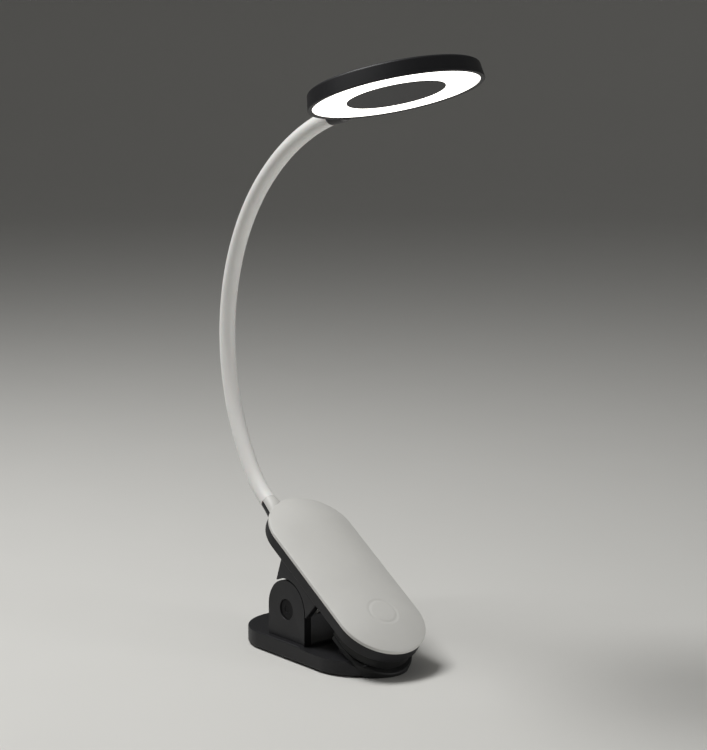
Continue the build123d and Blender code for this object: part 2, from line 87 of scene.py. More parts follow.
# Lever, in its own frame: origin on the hinge, X along it to the tips, Z square to its top.
COVER_R = 25.3
COVER_REAR, COVER_FRONT = -26.8, 40.9
COVER_LOW, COVER_TOP = 27.4, 29.2
COVER_INNER_R, COVER_INNER_CROWN = 21.5, 4.5
CROWN_INSETS, UNDER_INSETS = (0.5, 0.8, 1.1, 1.5, 1.9, 2.3, 2.5, 2.4, 1.9), (1.5, 2.5, 3.5, 4.5, 5.0)
SHELL_R, SHELL_LOW, SHELL_TOP, SHELL_FLOOR, SHELL_WALL = 24.9, 20.8, 27.2, 22.6, 2.0
SKIRT_IN, SKIRT_OUT, SKIRT_LOW = 20.3, 24.3, 8.1
SKIRT_HALF_LOW, SKIRT_HALF_TOP = 15.3, 18.3
SKIRT_ARC_R = 16.95
LUG_R, LUG_IN, LUG_OUT = 6.5, 12.5, 19.0
PIN_R = 2.5
LEVER_SCREWS = ((-39, 4), (-14, 18.8), (-14, -18.8), (52, 14.5), (52, -14.5))
PAD_SEAT, PAD_FACE, PAD_R, PAD_REAR, PAD_FRONT = 10.7, 13.7, 20.0, 34.0, 47.2
PAD_SPARE, TOE_REAR = 25, 45
UPPER_PAD_FACE, UPPER_PAD_R, UPPER_PAD_FRONT = 14.0, 20.6, 43.6
SOCKET_X, SOCKET_Y, SOCKET_Z = -50.6, 9.0, 24.6
SOCKET_W, SOCKET_H, SOCKET_L = 8.9, 3.2, 7.2

# Torsion spring: the coil starts on the lower jaw and ends on the lever.
COIL_R, WIRE_R = 5.0, 0.8
COIL_LOW_Y, COIL_HIGH_Y, COIL_TURNS, COIL_STEPS = -4.15, 6.4, 6, 32
LOWER_LEG_X, UPPER_LEG_X = -20, -16

# Gooseneck: three tangent arcs in one upright plane.
NECK_Y = -10.0
NECK_START_X, NECK_START_Z = -56.6, 24.85
NECK_RADII = (50.0, 126.0, 140.0)
NECK_HEADINGS = (147.8, 125.6, 45.7, 17.4)
LINK_PITCH = 38.0
BEND_HALF = 14.0
NECK_BODIES = ["lever"] + [f"neck_link_{i}" for i in range(1, 7)] + ["head"]
LEADS_BORE = 2.3

# Collar round the gooseneck's root: it starts inside the lever, and splits between shell and cover.
COLLAR_ROOT_X, COLLAR_SPLIT = -40.0, 25.85
COLLAR_PROFILE = ((5.45, -2), (5.45, 7.5), (5.2, 9.5), (4.85, 12), (4.6, 14.5))
COLLAR_TIP, COLLAR_BORE = 16.6, 5.3
COLLAR_SINK, COLLAR_SINK_END, COLLAR_SINK_START = 0.77, 7.5, 12.0

# Head, in its own frame: origin at the lit face's centre, X to the front rim, Z to the back.
HEAD_R, HEAD_BACK_R, HEAD_T = 44.4, 43.2, 8.5
HEAD_REACH, HEAD_AXIS = 53.4, 3.9
LIT_OUTER, LIT_INNER = 42.1, 24.9
LIT_MID_HEIGHT = 1.2
HEAD_SCREW_R = 20.5
HEAD_STEPS = 144

# Screws and the bosses that they bite into.
BOSS_R, BOSS_BORE, BOSS_CLEARANCE, BOSS_MEET = 2.6, 0.92, 1.0, 25.6
SCREW_SINK_R, SCREW_SINK = 2.0, 1.25
THREAD_R, THREAD_ROOT_R, THREAD_PITCH = 0.88, 0.72, 0.6

# Grip grooves in the rubber pads.
GROOVES, GROOVE_R, GROOVE_HALF, GROOVE_PITCH, GROOVE_OFFSET = 5, 0.9, 17, 4.6, 0.45

# Floor: flat round the lamp, sweeping up into a low wall far behind.
FLOOR_PROFILE = [
    (0, 0, 0), (2600, 0, 0), (3000, 30, 0), (3400, 130, 0), (3800, 330, 0), (4100, 650, 0), (4250, 1100, 0),
    (4300, 2200, 0),
]

# Camera and lights, in metres and degrees.
CAMERA_AIM, CAMERA_DISTANCE = Vector((0.02746, 0, 0.15413)), 1.1401
CAMERA_AZIMUTH, CAMERA_ELEVATION = math.radians(51.68), math.radians(9.37)
LIGHT_AIM = Vector((0.01, 0, 0.13))
KEY_LIGHT, SIDE_LIGHT, FRONT_LIGHT = (-0.32, -0.42, 1.2), (-0.5, -1.2, 0.7), (0.95, 0.4, 0.12)

VERT, EDGE = bmesh.types.BMVert, bmesh.types.BMEdge


def linear(hex_value):
    """Linear colour, with its alpha, of an sRGB hex value."""
    shares = [int(hex_value[i : i + 2], 16) / 255 for i in (0, 2, 4)]
    return [s / 12.92 if s <= 0.04045 else ((s + 0.055) / 1.055) ** 2.4 for s in shares] + [1.0]


def length(name, description, value):
    """A size that a user may change, given in millimetres."""
    return FloatProperty(
        name=name, description=description, default=value * MM, min=0.0,
        unit="LENGTH", subtype="DISTANCE", precision=5,
    )


def colour(name, description, hex_value):
    return FloatVectorProperty(
        name=name, description=description, default=linear(hex_value), size=4,
        subtype="COLOR", min=0.0, max=1.0,
    )


def strength(name, description, value, unit="NONE"):
    return FloatProperty(name=name, description=description, default=value, min=0.0, unit=unit)


class LampSizes(bpy.types.PropertyGroup):
    """Edges and small features of the finished pieces."""

    cover_edge: length("Cover edge", "Rounding of the top cover's rim", 0.5)
    cover_crown: length("Cover crown", "How far the cover's middle stands above its rim", 4.45)
    touch_radius: length("Touch ring radius", "Outer radius of the dished touch ring", 9.2)
    touch_width: length("Touch ring width", "Width of the dished touch ring", 3.0)
    touch_dish: length("Touch ring dish", "Depth of the dished touch ring", 0.24)
    shell_edge: length("Shell edge", "Rounding of the lever shell's lower edge", 0.7)
    skirt_edge: length("Skirt edge", "Rounding of the skirts' edges", 0.5)
    base_edge: length("Base edge", "Rounding of the base's top edge", 0.8)
    ear_edge: length("Ear edge", "Rounding round the ears", 0.5)
    ear_hole: length("Ear hole radius", "Radius of the round recess in each ear", 5.6)
    pad_rim: length("Pad rim", "Rounding of the lower pad's top rim", 1.2)
    sleeve_radius: length("Sleeve radius", "Radius of the gooseneck's sleeve", 4.4)
    housing_edge: length("Head edge", "Rounding of the head's back edge", 1.3)
    diffuser_dome: length("Diffuser dome", "How far the diffuser's middle stands proud", 0.15)
    screw_head: length("Screw head radius", "Radius of the pan-head screws", 1.8)


class LampFinishes(bpy.types.PropertyGroup):
    """Colours of the lamp."""

    cover: colour("Cover", "Warm light grey ABS of the top cover", "B8B7B3")
    shell: colour("Shell", "Charcoal ABS of the jaws and the head", "18181A")
    rubber: colour("Rubber", "Near-black rubber of the pads and the foot", "0B0C0C")
    sleeve: colour("Sleeve", "Light grey silicone of the gooseneck", "D6D5D2")
    lit: colour("Light", "Colour that the diffuser glows", "FFFBF4")


class LampStage(bpy.types.PropertyGroup):
    """Floor, lights and camera."""

    floor: colour("Floor", "Plain pale floor", "C9C8C4")
    surround: colour("Surround", "Plain pale surround", "DADAD9")
    surround_power: strength("Surround power", "Strength of the surround's light", 0.17)
    key_power: strength("Key power", "Power of the main soft light", 17.0, "POWER")
    fill_power: strength("Fill power", "Power of the side light", 1.2, "POWER")
    front_power: strength("Front power", "Power of the low front light", 3.4, "POWER")
    glow: strength("Glow", "Strength of the lit ring", 3.2)
    lens: FloatProperty(
        name="Lens", description="Camera's focal length", default=105.11, min=1.0, unit="CAMERA"
    )


# Places


def turn(degrees, axis):
    return Matrix.Rotation(math.radians(degrees), 4, axis)


def joint_place(name):
    """A joint's anchor in millimetres."""
    joint = next(j for j in frame["joints"] if j["name"] == name)
    return Vector(joint["pos_m"]) / MM


def lever_frame():
    """The lever's frame: the tilt is the gooseneck's first heading, turned about the hinge."""
    return Matrix.Translation(joint_place("jaw_hinge")) @ turn(180 - NECK_HEADINGS[0], "Y")


def head_frame():
    """The head's frame, from the middle of the lit ring's box and the gooseneck's last heading."""
    low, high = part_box("diffuser_ring")
    tilt = turn(-NECK_HEADINGS[-1], "Y")
    centre = (low + high) / 2 / MM - tilt @ Vector((0, 0, LIT_MID_HEIGHT))
    return Matrix.Translation(centre) @ tilt


LEVER = lever_frame()
HEAD = head_frame()
PIVOT_Z = joint_place("jaw_hinge").z
AROUND_Y = turn(90, "X")


def across(y=0.0, x=0.0, z=0.0):
    """A frame whose Z axis runs along -Y."""
    return Matrix.Translation((x, y, z)) @ AROUND_Y


# From the collar's root, along the gooseneck's first stretch.
NECK_AXIS = Matrix.Translation((COLLAR_ROOT_X, NECK_Y, NECK_START_Z)) @ turn(-90, "Y")


# Mesh work


def picked(geometry, kind):
    """The items of one kind, or of either of two, among an operator's results."""
    return [g for g in geometry if isinstance(g, kind)]


def placed(shape, place):
    bmesh.ops.transform(shape, matrix=place, verts=shape.verts)
    return shape


def merged(*shapes):
    """Several closed shapes as one mesh."""
    whole = bmesh.new()
    for shape in shapes:
        mesh = bpy.data.meshes.new("shape")
        shape.to_mesh(mesh)
        shape.free()
        whole.from_mesh(mesh)
        bpy.data.meshes.remove(mesh)
    return whole


def as_object(shape):
    bmesh.ops.recalc_face_normals(shape, faces=shape.faces)
    mesh = bpy.data.meshes.new("tool")
    shape.to_mesh(mesh)
    shape.free()
    tool = bpy.data.objects.new("tool", mesh)
    bpy.context.scene.collection.objects.link(tool)
    return tool


def without(shape, *cutters):
    """A closed shape with other closed shapes cut out of it."""
    target = as_object(shape)
    tools = [as_object(cutter) for cutter in cutters]
    for tool in tools:
        cut = target.modifiers.new("cut", "BOOLEAN")
        cut.operation = "DIFFERENCE"
        cut.solver = "EXACT"
        cut.object = tool
    depsgraph = bpy.context.evaluated_depsgraph_get()
    mesh = bpy.data.meshes.new_from_object(target.evaluated_get(depsgraph))
    result = bmesh.new()
    result.from_mesh(mesh)
    bpy.data.meshes.remove(mesh)
    for used in [target, *tools]:
        spent = used.data
        bpy.data.objects.remove(used)
        bpy.data.meshes.remove(spent)
    if len(result.faces) < 4:
        raise RuntimeError("a cut left nothing of the shape")
    return result


def rounded(shape, edges, size, segments=4):
    if size > 0:
        bmesh.ops.bevel(
            shape, geom=edges, offset=size, offset_type="OFFSET", segments=segments,
            profile=0.5, affect="EDGES", clamp_overlap=True, material=-1,
        )
    return shape


def level_edges(shape, height):
    """The edges that lie at one height."""
    return [e for e in shape.edges if all(abs(v.co.z - height) < 1e-3 for v in e.verts)]


def extruded(shape, rise):
    """Raises every face of a flat shape into a closed block."""
    made = bmesh.ops.extrude_face_region(shape, geom=list(shape.faces))
    bmesh.ops.translate(shape, vec=(0, 0, rise), verts=picked(made["geom"], VERT))
    bmesh.ops.recalc_face_normals(shape, faces=shape.faces)
    return shape


def obround(radius, rear, front, low, high, top_round=0.0, low_round=0.0, steps=ROUND_STEPS):
    """Round-ended block along X, from a circle whose halves are drawn apart."""
    shape = bmesh.new()
    half_step = Matrix.Rotation(math.pi / steps, 4, "Z")
    bmesh.ops.create_circle(shape, cap_ends=True, radius=radius, segments=steps, matrix=half_step)
    for vert in shape.verts:
        vert.co.x += front if vert.co.x > 0 else rear
        vert.co.z = low
    extruded(shape, high - low)
    rounded(shape, level_edges(shape, high), top_round)
    return rounded(shape, level_edges(shape, low), low_round)


def box(low, high, edge=0.0):
    low, high = Vector(low), Vector(high)
    shape = bmesh.new()
    size = Matrix.Diagonal([*(high - low), 1.0])
    bmesh.ops.create_cube(shape, size=1.0, matrix=Matrix.Translation((low + high) / 2) @ size)
    return rounded(shape, shape.edges[:], edge, 3)


def sliced(shape, point, normal):
    """Takes off what lies on the normal's side of a plane, and closes the cut."""
    geometry = shape.verts[:] + shape.edges[:] + shape.faces[:]
    made = bmesh.ops.bisect_plane(
        shape, geom=geometry, plane_co=point, plane_no=normal, clear_outer=True
    )
    bmesh.ops.edgenet_fill(shape, edges=picked(made["geom_cut"], EDGE))
    bmesh.ops.recalc_face_normals(shape, faces=shape.faces)
    return shape


def turned(profile, steps=ROUND_STEPS, closed=True):
    """Turns a profile of (radius, height, edge rounding) round the Z axis."""
    shape = bmesh.new()
    verts = [shape.verts.new((r, 0, z)) for r, z, _ in profile]
    pairs = list(zip(verts, verts[1:]))
    if closed and (profile[0][0] > 0 or profile[-1][0] > 0):
        pairs.append((verts[-1], verts[0]))
    edges = [shape.edges.new(pair) for pair in pairs]
    bmesh.ops.spin(
        shape, geom=verts + edges, cent=(0, 0, 0), axis=(0, 0, 1), dvec=(0, 0, 0),
        angle=math.tau, steps=steps, use_merge=True, use_duplicate=False,
    )
    bmesh.ops.remove_doubles(shape, verts=shape.verts, dist=1e-4)
    bmesh.ops.recalc_face_normals(shape, faces=shape.faces)
    for radius, height, size in profile:
        if size:
            ring = [
                e for e in level_edges(shape, height)
                if all(abs(v.co.to_2d().length - radius) < 1e-3 for v in e.verts)
            ]
            rounded(shape, ring, size)
    return shape


def lever_block(radius, low, high, top_round=0.0, low_round=0.0):
    """An obround whose ends are concentric with the cover's."""
    return obround(radius, COVER_REAR, COVER_FRONT, low, high, top_round, low_round)


def rod(radius, low, high, edge=0.0, steps=48):
    return turned([(0, low, 0), (radius, low, edge), (radius, high, edge), (0, high, 0)], steps)


def boss(spot, bore, low, high, roundings):
    """A tube that a screw goes into, with the rounding of each of its profile's corners."""
    corners = ((bore, low), (BOSS_R, low), (BOSS_R, high), (bore, high))
    tube = turned([(r, z, rounding) for (r, z), rounding in zip(corners, roundings)], 32)
    return placed(tube, Matrix.Translation((*spot, 0)))


def grooved(pad, first, height):
    """A pad with a row of grooves cut across it."""
    grooves = [rod(GROOVE_R, -GROOVE_HALF, GROOVE_HALF, 0.0, 16) for _ in range(GROOVES)]
    for i, groove in enumerate(grooves):
        placed(groove, across(0, first + GROOVE_PITCH * i, height))
    return without(pad, *grooves)


def make_object(name, shape, finish, place=Matrix()):
    """A mesh object in metres, with its place in its mesh and its normals outward."""
    placed(shape, Matrix.Scale(MM, 4) @ place)
    bmesh.ops.recalc_face_normals(shape, faces=shape.faces)
    mesh = bpy.data.meshes.new(name)
    shape.to_mesh(mesh)
    shape.free()
    mesh.shade_smooth()
    mesh.set_sharp_from_angle(angle=math.radians(32))
    mesh.materials.append(finish)
    made = bpy.data.objects.new(name, mesh)
    bpy.context.scene.collection.objects.link(made)
    return made


def add_piece(name, shape, finish, body, nodes, place=Matrix()):
    """A finished piece that rides on a body and stands for CAD nodes."""
    made = make_object(name, shape, finish, place)
    even = made.modifiers.new("even_shading", "WEIGHTED_NORMAL")
    even.keep_sharp = True
    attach(made, body)
    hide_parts(*nodes)
    return made


# Finishes


def add_node(material, kind, settings=None, links=None):
    """One shader node, with its settings and what feeds its inputs."""
    node = material.node_tree.nodes.new("ShaderNode" + kind)
    for key, value in (settings or {}).items():
        if isinstance(key, int) or key in node.inputs:
            node.inputs[key].default_value = value
        else:
            setattr(node, key, value)
    for key, source in (links or {}).items():
        material.node_tree.links.new(source, node.inputs[key])
    return node


def start_material(name):
    material = bpy.data.materials.new(name)
    material.use_nodes = True
    material.node_tree.nodes.clear()
    place = add_node(material, "TexCoord").outputs["Object"]
    return material, place


def finish_material(material, settings, links):
    shader = add_node(material, "BsdfPrincipled", settings, links)
    add_node(material, "OutputMaterial", {}, {"Surface": shader.outputs["BSDF"]})
    return material


def skin(tone, gloss, relief):
    """What feeds a shader's colour, roughness and normal."""
    return {
        "Base Color": tone.outputs[2], "Roughness": gloss.outputs["Result"],
        "Normal": relief.outputs["Normal"],
    }


def clouded(material, cloud, tones, gloss_range, grain, depth, settings):
    """Ends a finish whose tone and gloss drift with one noise, under a relief of (strength, metres)."""
    first, second = tones
    mixed = add_node(
        material, "Mix", {"data_type": "RGBA", 6: first, 7: second}, {0: cloud.outputs["Fac"]}
    )
    gloss = add_node(
        material, "MapRange", {"To Min": gloss_range[0], "To Max": gloss_range[1]},
        {"Value": cloud.outputs["Fac"]},
    )
    relief = add_node(material, "Bump", {"Strength": depth[0], "Distance": depth[1]}, {"Height": grain})
    return finish_material(material, settings, skin(mixed, gloss, relief))


def per_mm(size):
    """Texture scale at which one feature measures this many millimetres."""
    return 1.0 / (size * MM)


def moulded_abs(name, tone, roughness, grain, edge_highlight, shine):
    """ABS from a spark-eroded mould: an even matt skin of fine rounded pits, with a slight cloudiness
    where the melt flowed, and a painted highlight that lightens its sharp edges."""
    material, place = start_material(name)
    cloud = add_node(
        material, "TexNoise", {"Scale": per_mm(22), "Detail": 3.0, "Roughness": 0.55}, {"Vector": place}
    )
    # The real pits are about 0.1 mm across, too fine to show, so they are drawn at 0.5 mm.
    pits = add_node(
        material, "TexVoronoi", {"feature": "SMOOTH_F1", "Scale": per_mm(grain), "Smoothness": 0.6},
        {"Vector": place},
    )
    dust = add_node(material, "TexNoise", {"Scale": per_mm(0.9), "Detail": 4.0}, {"Vector": place})
    darker = [c * 0.93 for c in tone[:3]] + [1.0]
    lighter = [min(1.0, c * 1.05) for c in tone[:3]] + [1.0]
    mixed = add_node(
        material, "Mix", {"data_type": "RGBA", 6: darker, 7: lighter}, {0: cloud.outputs["Fac"]}
    )
    # Painted highlight: edges that Pointiness finds sharp are mixed towards a lighter tone, standing in for
    # light caught on the rims.
    edge = add_node(material, "NewGeometry")
    edge_highlight_mask = add_node(
        material, "MapRange", {"From Min": 0.53, "From Max": 0.62, "To Max": edge_highlight},
        {"Value": edge.outputs["Pointiness"]},
    )
    highlight_tone = [min(1.0, c * 1.5 + 0.02) for c in tone[:3]] + [1.0]
    highlighted = add_node(
        material, "Mix", {"data_type": "RGBA", 7: highlight_tone},
        {0: edge_highlight_mask.outputs["Result"], 6: mixed.outputs[2]},
    )
    gloss = add_node(
        material, "MapRange", {"To Min": roughness - 0.05, "To Max": roughness + 0.06},
        {"Value": dust.outputs["Fac"]},
    )
    relief = add_node(
        material, "Bump", {"Strength": 0.22, "Distance": 0.00006}, {"Height": pits.outputs["Distance"]}
    )
    return finish_material(
        material,
        {"IOR": 1.53, "Specular IOR Level": shine},
        skin(highlighted, gloss, relief),
    )


def soft_silicone(name, tone):
    """Silicone drawn over the gooseneck: a soft satin skin that lets a little light in, with faint
    handling marks and a trace of dust."""
    material, place = start_material(name)
    marks = add_node(
        material, "TexNoise", {"Scale": per_mm(9), "Detail": 4.0, "Roughness": 0.6}, {"Vector": place}
    )
    dust = add_node(material, "TexNoise", {"Scale": per_mm(0.6), "Detail": 3.0}, {"Vector": place})
    darker = [c * 0.94 for c in tone[:3]] + [1.0]
    return clouded(material, marks, (darker, list(tone)), (0.42, 0.58), dust.outputs["Fac"], (0.1, 0.00004), {
        "IOR": 1.41, "Subsurface Weight": 0.06, "Subsurface Scale": 0.002,
        "Sheen Weight": 0.08, "Sheen Roughness": 0.5,
    })


def grip_rubber(name, tone):
    """Moulded nitrile rubber: near black, with a dull bloom in its hollows and a fine stippled skin."""
    material, place = start_material(name)
    bloom = add_node(material, "TexNoise", {"Scale": per_mm(5), "Detail": 5.0}, {"Vector": place})
    stipple = add_node(material, "TexVoronoi", {"Scale": per_mm(0.6)}, {"Vector": place})
    dusty = [c + 0.012 for c in tone[:3]] + [1.0]
    pits = stipple.outputs["Distance"]
    return clouded(material, bloom, (list(tone), dusty), (0.46, 0.66), pits, (0.25, 0.00008), {
        "IOR": 1.52, "Specular IOR Level": 0.2, "Sheen Weight": 0.04, "Sheen Roughness": 0.4,
    })


def opal_diffuser(name, tone, glow):
    """Opal polycarbonate lit from behind: an even glow, a shade weaker at both edges of the ring."""
    material, place = start_material(name)
    centre = HEAD.translation * MM
    centred = add_node(material, "VectorMath", {"operation": "SUBTRACT", 1: centre}, {0: place})
    reach = add_node(material, "VectorMath", {"operation": "LENGTH"}, {0: centred.outputs[0]})
    middle = (LIT_OUTER + LIT_INNER) / 2 * MM
    offset = add_node(material, "Math", {"operation": "SUBTRACT", 1: middle}, {0: reach.outputs["Value"]})
    away = add_node(material, "Math", {"operation": "ABSOLUTE"}, {0: offset.outputs[0]})
    half = (LIT_OUTER - LIT_INNER) / 2 * MM
    fade = add_node(
        material, "MapRange", {"From Min": half * 0.86, "From Max": half, "To Min": 1.0, "To Max": 0.55},
        {"Value": away.outputs[0]},
    )
    haze = add_node(material, "TexNoise", {"Scale": per_mm(3)}, {"Vector": place})
    gloss = add_node(material, "MapRange", {"To Min": 0.3, "To Max": 0.4}, {"Value": haze.outputs["Fac"]})
    dark = [c * 0.3 for c in tone[:3]] + [1.0]
    shine = add_node(
        material, "Mix", {"data_type": "RGBA", 6: dark, 7: list(tone)}, {0: fade.outputs["Result"]}
    )
    return finish_material(
        material,
        {"Base Color": linear("EDEDEA"), "IOR": 1.58, "Emission Strength": glow},
        {"Emission Color": shine.outputs[2], "Roughness": gloss.outputs["Result"]},
    )


def drawn_metal(name, hex_value, roughness, along):
    """Metal drawn or stamped through a die: fine lines that run one way, brighter where it was rubbed."""
    material, place = start_material(name)
    # Lines are 0.15 mm apart and run ten times as long along the drawing direction.
    stretch = [1.0 if axis != along else 0.1 for axis in range(3)]
    lie = add_node(material, "Mapping", {"Scale": stretch}, {"Vector": place})
    lines = add_node(
        material, "TexNoise", {"Scale": per_mm(0.15), "Detail": 2.0}, {"Vector": lie.outputs["Vector"]}
    )
    tone = linear(hex_value)
    dull = [c * 0.8 for c in tone[:3]] + [1.0]
    gloss_range = (roughness - 0.07, roughness + 0.1)
    return clouded(
        material, lines, (dull, tone), gloss_range, lines.outputs["Fac"], (0.12, 0.00002), {"Metallic": 1.0}
    )


def coated_board(name, hex_value, weave):
    """Glass-cloth circuit board under solder mask: a smooth coat with the cloth's weave just showing."""
    material, place = start_material(name)
    tilt = (0, math.radians(180 - NECK_HEADINGS[0]), 0)
    lie = add_node(material, "Mapping", {"Rotation": tilt}, {"Vector": place})
    warp, weft = [
        add_node(
            material, "TexWave",
            {"bands_direction": axis, "Scale": per_mm(weave) / math.tau, "Distortion": 0.4},
            {"Vector": lie.outputs["Vector"]},
        )
        for axis in "XY"
    ]
    cloth = add_node(
        material, "Math", {"operation": "MULTIPLY"}, {0: warp.outputs["Fac"], 1: weft.outputs["Fac"]}
    )
    tone = linear(hex_value)
    dark = [c * 0.82 for c in tone[:3]] + [1.0]
    mixed = add_node(material, "Mix", {"data_type": "RGBA", 6: dark, 7: tone}, {0: cloth.outputs[0]})
    relief = add_node(material, "Bump", {"Strength": 0.1, "Distance": 0.00003}, {"Height": cloth.outputs[0]})
    return finish_material(
        material,
        {"Roughness": 0.32, "IOR": 1.55, "Coat Weight": 0.3, "Coat Roughness": 0.15},
        {"Base Color": mixed.outputs[2], "Normal": relief.outputs["Normal"]},
    )


def plain_coat(name, first, second, roughness, patch, bump=0.08, shine=0.5):
    """A small part's own skin, such as epoxy, phosphor gel, foil laminate or PVC: two close tones
    that drift into each other, and a faint uneven surface."""
    material, place = start_material(name)
    drift = add_node(material, "TexNoise", {"Scale": per_mm(patch), "Detail": 4.0}, {"Vector": place})
    tones, gloss_range = (linear(first), linear(second)), (roughness - 0.06, roughness + 0.08)
    return clouded(
        material, drift, tones, gloss_range, drift.outputs["Fac"], (bump, 0.0001),
        {"IOR": 1.5, "Specular IOR Level": shine},
    )


def finish(name):
    """The named finish, made when it is first asked for."""
    if name in bpy.data.materials:
        return bpy.data.materials[name]
    tones = bpy.context.scene.lamp_finishes
    stage = bpy.context.scene.lamp_stage
    makers = {
        "grey_moulded_abs": lambda: moulded_abs(name, tones.cover, 0.5, 0.5, 0.3, 0.5),
        "charcoal_moulded_abs": lambda: moulded_abs(name, tones.shell, 0.48, 0.5, 0.22, 0.25),
        "black_nitrile_rubber": lambda: grip_rubber(name, tones.rubber),
        "grey_silicone": lambda: soft_silicone(name, tones.sleeve),
        "opal_polycarbonate": lambda: opal_diffuser(name, tones.lit, stage.glow),
        "zinc_plated_steel": lambda: drawn_metal(name, "B4B5B3", 0.32, 1),
        "music_wire": lambda: drawn_metal(name, "8E8D8A", 0.3, 1),
        "copper_sheet": lambda: drawn_metal(name, "C07A52", 0.3, 0),
        "green_circuit_board": lambda: coated_board(name, "1D5B38", 0.6),
        "white_circuit_board": lambda: coated_board(name, "E4E4DF", 0.6),
        "white_polypropylene": lambda: plain_coat(name, "E9E9E5", "F3F3F0", 0.35, 6.0),
        # Near-black acetal of the pin caps, darkened past its own tone as painted shade for the inside of the
        # ear recesses.
        "black_acetal_and_painted_shade": lambda: plain_coat(name, "08080A", "0C0C0E", 0.5, 1.5, 0.08, 0.12),
        "black_epoxy": lambda: plain_coat(name, "131314", "1E1E20", 0.5, 0.8),
        "yellow_phosphor_gel": lambda: plain_coat(name, "E9D25A", "F1E083", 0.3, 0.7),
        "foil_laminate": lambda: plain_coat(name, "A3A5A8", "BABCBE", 0.28, 3.0, 0.3),
        "red_pvc": lambda: plain_coat(name, "8E1714", "A11E1A", 0.42, 1.2),
    }
    return makers[name]()


# Neck path


def neck_at(distance):
    """The centre line's point at a distance along it, and its heading there in radians."""
    start = LEVER @ Vector((NECK_START_X, NECK_Y, NECK_START_Z))
    x, z, heading = start.x, start.z, math.radians(NECK_HEADINGS[0])
    for radius, before, after in zip(NECK_RADII, NECK_HEADINGS, NECK_HEADINGS[1:]):
        arc = radius * math.radians(before - after)
        step = min(distance, arc) / radius
        x += radius * (math.sin(heading) - math.sin(heading - step))
        z += radius * (math.cos(heading - step) - math.cos(heading))
        heading -= step
        distance -= arc
        if distance <= 0:
            break
    return Vector((x, NECK_Y, z)), heading


def neck_arcs():
    """Where each arc starts and ends along the centre line, with its radius."""
    spans, start = [], 0.0
    for radius, before, after in zip(NECK_RADII, NECK_HEADINGS, NECK_HEADINGS[1:]):
        end = start + radius * math.radians(before - after)
        spans.append((start, end, radius))
        start = end
    return spans


def swept_sleeve(start, end, radius):
    """A round bar spun round each of the gooseneck's arcs in turn."""
    shape = bmesh.new()
    point, heading = neck_at(start)
    upright = Matrix.Translation(point) @ Matrix.Rotation(math.pi / 2 - heading, 4, "Y")
    made = bmesh.ops.create_circle(shape, cap_ends=False, radius=radius, segments=40, matrix=upright)
    ring = made["verts"] + shape.edges[:]
    for low, high, bend in neck_arcs():
        low, high = max(low, start), min(high, end)
        if high - low > 1e-6:
            point, heading = neck_at(low)
            centre = point + bend * Vector((math.sin(heading), 0, -math.cos(heading)))
            steps = max(1, round((high - low) / 1.6))
            made = bmesh.ops.spin(
                shape, geom=ring, cent=centre, axis=(0, 1, 0), dvec=(0, 0, 0),
                angle=(high - low) / bend, steps=steps, use_merge=False, use_duplicate=False,
            )
            ring = made["geom_last"]
    reached = [v.co for v in picked(ring, VERT)]
    middle = sum(reached, Vector()) / len(reached)
    if (middle - neck_at(end)[0]).length > 0.05:
        raise RuntimeError("the sleeve left the gooseneck's centre line")
    bmesh.ops.holes_fill(shape, edges=[e for e in shape.edges if e.is_boundary])
    bmesh.ops.recalc_face_normals(shape, faces=shape.faces)
    return shape


# Operators


class MakeBase(bpy.types.Operator):
    """Lower jaw base: stepped round-ended slab, ramp and two ears with round recesses"""

    bl_idname = "reading_lamp.base"
    bl_label = "Lower jaw base"

    def execute(self, context):
        sizes = context.scene.lamp_sizes
        over_pad = (LEVER @ Vector((0, 0, PAD_SEAT)), LEVER.to_3x3() @ Vector((0, 0, 1)))
        slab = obround(BASE_R, BASE_REAR, BASE_FRONT, FOOT_T, BASE_TOP, sizes.base_edge / MM, 0.4)
        sliced(slab, *over_pad)
        step = box((STEP_REAR, -40, BASE_TOP - STEP_DEPTH), (90, 40, BASE_TOP + 9))
        for vert in step.verts:
            if vert.co.x < STEP_FRONT and vert.co.z < BASE_TOP:
                vert.co.x = STEP_FRONT
            elif vert.co.x < STEP_FRONT:
                vert.co.x -= (STEP_FRONT - STEP_REAR) * 9 / STEP_DEPTH
        cavity = obround(BASE_R - BASE_WALL, BASE_REAR, CAVITY_FRONT, -1, CAVITY_TOP)
        slab = without(slab, step, cavity)
        bosses = [boss(spot, BOSS_BORE, 2.8, CAVITY_TOP + 0.1, (0, 0.2, 0, 0)) for spot in BASE_SCREWS]
        ramp = box(RAMP_LOW, RAMP_HIGH)
        sliced(ramp, *over_pad)
        ears = []
        for side in (1, -1):
            ear = obround(EAR_R, 0, 0, -EAR_OUT, -EAR_IN)
            for vert in ear.verts:
                if vert.co.y < 0:
                    vert.co.y = BASE_TOP - 2 - PIVOT_Z
            for height, size, segments in ((-EAR_OUT, sizes.ear_edge / MM, 3), (-EAR_IN, 0.3, 2)):
                foot = BASE_TOP - PIVOT_Z - 1.9
                rim = [e for e in level_edges(ear, height) if max(v.co.y for v in e.verts) > foot]
                rounded(ear, rim, size, segments)
            hole, past = sizes.ear_hole / MM, -EAR_OUT - 0.35
            recess = turned([
                (0, -CAP_SEAT, 0), (hole, -CAP_SEAT, 0), (hole, -EAR_OUT + 0.25, 0), (hole + 0.6, past, 0),
                (0, past, 0),
            ], 64)
            ear = without(ear, recess, rod(PIN_R + 0.03, -30, -10))
            placed(ear, across(0, 0, PIVOT_Z))
            if side < 0:
                bmesh.ops.scale(ear, vec=(1, -1, 1), verts=ear.verts)
                bmesh.ops.reverse_faces(ear, faces=ear.faces)
            ears.append(ear)
        add_piece(
            "lower_jaw_moulding", merged(slab, ramp, *ears, *bosses), finish("charcoal_moulded_abs"),
            "lower_jaw", ["lower_jaw_base"],
        )
        return {"FINISHED"}


